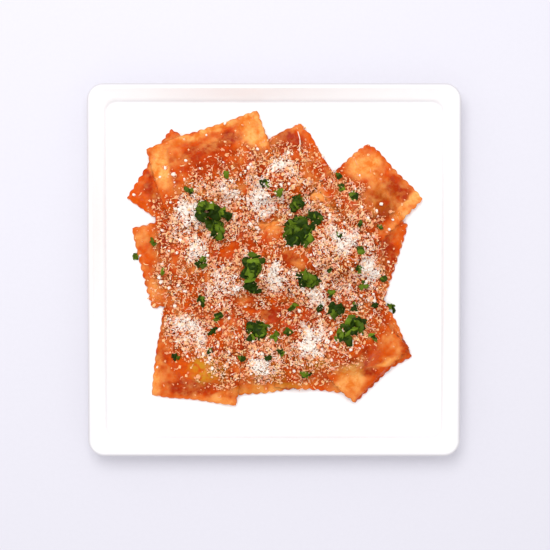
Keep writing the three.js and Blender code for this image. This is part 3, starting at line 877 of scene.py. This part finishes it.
# The curled shreds: each is a bent bar with four sides.
flat_places = strewn(SHREDS, cheese_draw, lambda x, y: cheese_at(x, y) ** 1.3)
dense = cheese_at(flat_places[:, 0], flat_places[:, 1])
along = np.linspace(-0.5, 0.5, SHRED_CUTS)
section = np.array([(-0.5, -0.5), (0.5, -0.5), (0.5, 0.5), (-0.5, 0.5)])
length = cheese_draw.uniform(*SHRED_LENGTHS, SHREDS)[:, None, None]
width = cheese_draw.uniform(*SHRED_WIDTHS, SHREDS)[:, None, None]
bend = cheese_draw.normal(0, 0.9, SHREDS)[:, None, None]
a = np.repeat(along, len(section))[None, :, None]
w = np.tile(section, (SHRED_CUTS, 1))[None]
shapes = np.concatenate([
    a * length, w[..., :1] * width + bend * a * a * length, w[..., 1:] * width * 0.7
], 2)
shapes = shapes + cheese_draw.normal(0, 0.06, shapes.shape)
shapes = np.einsum("nij,nkj->nki", turns(SHREDS, cheese_draw, 0.85), shapes)


def bar_of(rows):
    """The faces of a bar of four sides, cut across in some rows, with both its ends closed."""
    tip = 4 * rows
    sides = rows_of_quads(rows, 4, closed=True)[:, ::-1]
    return np.vstack([sides, [(0, 1, 2, 3)], [(tip - 1, tip - 2, tip - 3, tip - 4)]])


height = sampled(topmost, flat_places[:, 0], flat_places[:, 1])
height = height + 0.25 + dense ** 2 * cheese_draw.uniform(0, DRIFT_HEIGHT, SHREDS)
places = np.column_stack([flat_places, height])
shreds = scattered("cheese_shreds", shapes, places, bar_of(SHRED_CUTS), cheese)
whiteness = 1.8 * dense - 0.55 + cheese_draw.normal(0, 0.34, SHREDS)
store(shreds, "whiteness", np.repeat(np.clip(whiteness, 0, 1), shapes.shape[1]))

# The larger crumbs.
ball = bpy.data.meshes.new("crumb_ball")
shape = bmesh.new()
bmesh.ops.create_icosphere(shape, subdivisions=2, radius=0.5)
shape.to_mesh(ball)
shape.free()
ball_points = np.array([v.co[:] for v in ball.vertices])
ball_faces = np.array([p.vertices[:] for p in ball.polygons])
bpy.data.meshes.remove(ball)
flat_places = strewn(CRUMBS, cheese_draw, lambda x, y: np.clip(cheese_at(x, y), 0.06, 0.4))
size = cheese_draw.uniform(*CRUMB_SIZES, CRUMBS)
lumpy = 1 + cheese_draw.normal(0, 0.16, (CRUMBS, len(ball_points), 1))
shapes = ball_points[None] * lumpy * cheese_draw.uniform(0.6, 1.1, (CRUMBS, 1, 3))
shapes = shapes * size[:, None, None]
shapes = np.einsum("nij,nkj->nki", turns(CRUMBS, cheese_draw, 0.4), shapes)
height = sampled(topmost, flat_places[:, 0], flat_places[:, 1]) + 0.25 * size
places = np.column_stack([flat_places, height])
crumbs = scattered("cheese_crumbs", shapes, places, ball_faces, cheese, smooth=True)
store(crumbs, "whiteness", np.full(CRUMBS * len(ball_points), CRUMB_WHITENESS))

# One long strand, lying across the corner of the back raviolo.
STRAND_ROWS = 14
STRAND_LENGTH = 11
STRAND_THICK = 0.5
STRAND_WHITENESS = 0.75
STRAND_TOP = (13, 76)
down = np.linspace(0, 1, STRAND_ROWS)
strand_x = STRAND_TOP[0] + 1.4 * down + 0.6 * np.sin(4 * down)
strand_y = STRAND_TOP[1] - STRAND_LENGTH * down
strand = np.stack([strand_x, strand_y, sampled(topmost, strand_x, strand_y) + 0.3], 1)
ring = STRAND_THICK * np.column_stack([section[:, 0], np.zeros(4), section[:, 1]])
points = (strand[:, None] + ring[None]).reshape(-1, 3)
long_strand = piece_of("cheese_strand", points, bar_of(STRAND_ROWS), cheese)
store(long_strand, "whiteness", np.full(len(points), STRAND_WHITENESS))
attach(long_strand, "root")

# ------------------------------------------------------------------ chopped parsley
# Flat-leaf parsley cut with a knife: thin lobed bits of leaf, folded and curled, lying in
# loose clumps, with single flecks thrown wide.

# Each clump has its middle, its half width and half length, its turn and its number of bits.
CLUMPS = [
    (-37, 33, 5, 6, 0, 22), (-32, 23, 4, 5, 0, 18), (13, 21, 7, 8, 0, 44), (22, 29, 3.5, 3, 0, 9),
    (12, 36, 3, 4, 20, 10), (-12, 2, 4.5, 7, -15, 26), (-12, -9, 2, 4, 0, 8),
    (18, -5, 6, 4, -15, 17), (34, -23, 5, 3.5, -10, 10), (43, -30, 5, 4.5, 0, 16),
    (37, -36, 3, 2.5, 0, 6),
    (-10, -33, 4.5, 4.5, 0, 16), (-27, 31, 3.5, 1.8, 0, 5),
]
# Each fleck has its middle, its half spread and its number of bits.
FLECKS = [
    (-26, 51, 1, 2), (-46, 44, 1.5, 3), (-5, 47, 2, 4), (2, 43, 1.5, 3), (35, 51, 2, 3),
    (37, 44, 2, 4), (44, 41, 2, 5), (47, 26, 1.5, 2), (58, 24, 1, 2), (35, 19, 1.5, 3),
    (48, 12, 2, 4), (-40, 4, 2.5, 5), (-66, 16, 1.5, 3), (-76, 6, 2, 3), (-61, -1, 1, 2),
    (30, 0, 1.5, 2), (31, -13, 1.5, 3), (46, 0, 2, 4), (50, -8, 2, 4), (60, -5, 1, 2),
    (-40, -16, 2.5, 5), (11, -20, 1.5, 2), (25, -20, 1.5, 2), (44, -20, 2, 4), (55, -20, 1.5, 3),
    (65, -20, 2, 3), (54, -36, 2, 4), (-31, -25, 3, 6), (-34, -33, 2, 3), (0, -36, 2, 4),
    (7, -34, 1.5, 3), (-54, -48, 2, 4), (-35, -44, 1, 2), (-17, -48, 2.5, 4), (4, -44, 1.5, 3),
    (-4, -48, 1, 2), (17, -57, 2, 4),
]
CLUMP_BIT = 3.8     # half the length of a bit of leaf in a clump
FLECK_BIT = 2.3
LEAF_THICK = 0.24
HIGHEST_PILE = 3.2  # how far a clump's middle may stand above the cheese
RIM_STEPS = 16      # points round a bit of leaf
leaf_draw = np.random.default_rng(19)


def leaf_bits(spots, draw):
    """Lobed bits of leaf at some spots: their points, their places and a painted share of light for
    each, from shade at 0 to lit at 1.
    """
    angle = np.arange(RIM_STEPS) / RIM_STEPS * 2 * math.pi
    shapes, places, painted_lit_shares = [], [], []
    for middle_x, middle_y, half_width, half_length, turn, bits, size in spots:
        for _ in range(bits):
            lobes, phase = draw.integers(2, 5), draw.uniform(0, 2 * math.pi, 2)
            radius = 0.9 + 0.17 * np.cos(lobes * angle + phase[0])
            radius = radius + 0.06 * np.cos(7 * angle + phase[1])
            reach = size * draw.uniform(0.6, 1.25)
            px, py = radius * np.cos(angle) * reach, radius * np.sin(angle) * reach * 0.7
            px, py = np.append(px, 0), np.append(py, 0)
            fold, sweep = draw.normal(0, 0.16), draw.normal(0, 0.12)
            wave = 0.12 * reach * np.cos(3 * np.append(angle, 0) + phase[1])
            wave[-1] = 0
            pz = fold * np.abs(py) * 1.5 + sweep * px * px / reach + wave
            upper = np.stack([px, py, pz + LEAF_THICK / 2], 1)
            lower = np.stack([px, py, pz - LEAF_THICK / 2], 1)
            shapes.append(np.vstack([upper, lower]))
            reach_out, way = math.sqrt(draw.uniform(0, 1)), draw.uniform(0, 2 * math.pi)
            across = half_width * reach_out * math.cos(way)
            along = half_length * reach_out * math.sin(way)
            cos, sin = math.cos(math.radians(turn)), math.sin(math.radians(turn))
            x, y = middle_x + across * cos - along * sin, middle_y + across * sin + along * cos
            high = (1 - reach_out) * min(HIGHEST_PILE, 0.12 * bits) * draw.uniform(0.3, 1)
            places.append((x, y, high + 0.9))
            painted_lit_shares.append(draw.uniform(0, 1))
    return np.array(shapes), np.array(places), np.array(painted_lit_shares)


spots = [(*clump, CLUMP_BIT) for clump in CLUMPS]
spots += [(x, y, spread, spread, 0, bits, FLECK_BIT) for x, y, spread, bits in FLECKS]
shapes, places, painted_lit_shares = leaf_bits(spots, leaf_draw)
shapes = np.einsum("nij,nkj->nki", turns(len(shapes), leaf_draw, 0.75), shapes)
places[:, 2] += sampled(topmost, places[:, 0], places[:, 1])
rim_here = np.arange(RIM_STEPS)
rim_next = (rim_here + 1) % RIM_STEPS
low = RIM_STEPS + 1
leaf_faces = np.vstack([
    np.stack([rim_here, rim_next, np.full(RIM_STEPS, RIM_STEPS)], 1),
    np.stack([rim_next + low, rim_here + low, np.full(RIM_STEPS, RIM_STEPS + low)], 1),
    np.stack([rim_next, rim_here, rim_here + low], 1),
    np.stack([rim_next, rim_here + low, rim_next + low], 1),
])

green, tree, shader = new_material("parsley_leaf")
# Painted shade and light: each bit of leaf is coloured at random as if in shadow (dark) or lit
# (light), from one green.
painted_lit_share = add(tree, "Attribute", attribute_name="painted_lit_share").outputs["Fac"]
veins = noise_of(tree, 1.1, detail=3)
dark = mixed(tree, veins, linear(22, 42, 3), linear(50, 74, 7))
light = mixed(tree, veins, linear(84, 112, 12), linear(130, 154, 36))
leaf = mixed(tree, ramp_of(tree, painted_lit_share, 0.42, 1.05), dark, light)
tree.links.new(leaf, shader.inputs["Base Color"])
tree.links.new(bump_of(tree, veins, 0.15), shader.inputs["Normal"])
shader.inputs["Roughness"].default_value = 0.5
shader.inputs["Specular IOR Level"].default_value = 0.12
parsley = scattered("chopped_parsley", shapes, places, leaf_faces, green, smooth=True)
store(parsley, "painted_lit_share", np.repeat(painted_lit_shares, 2 * low))
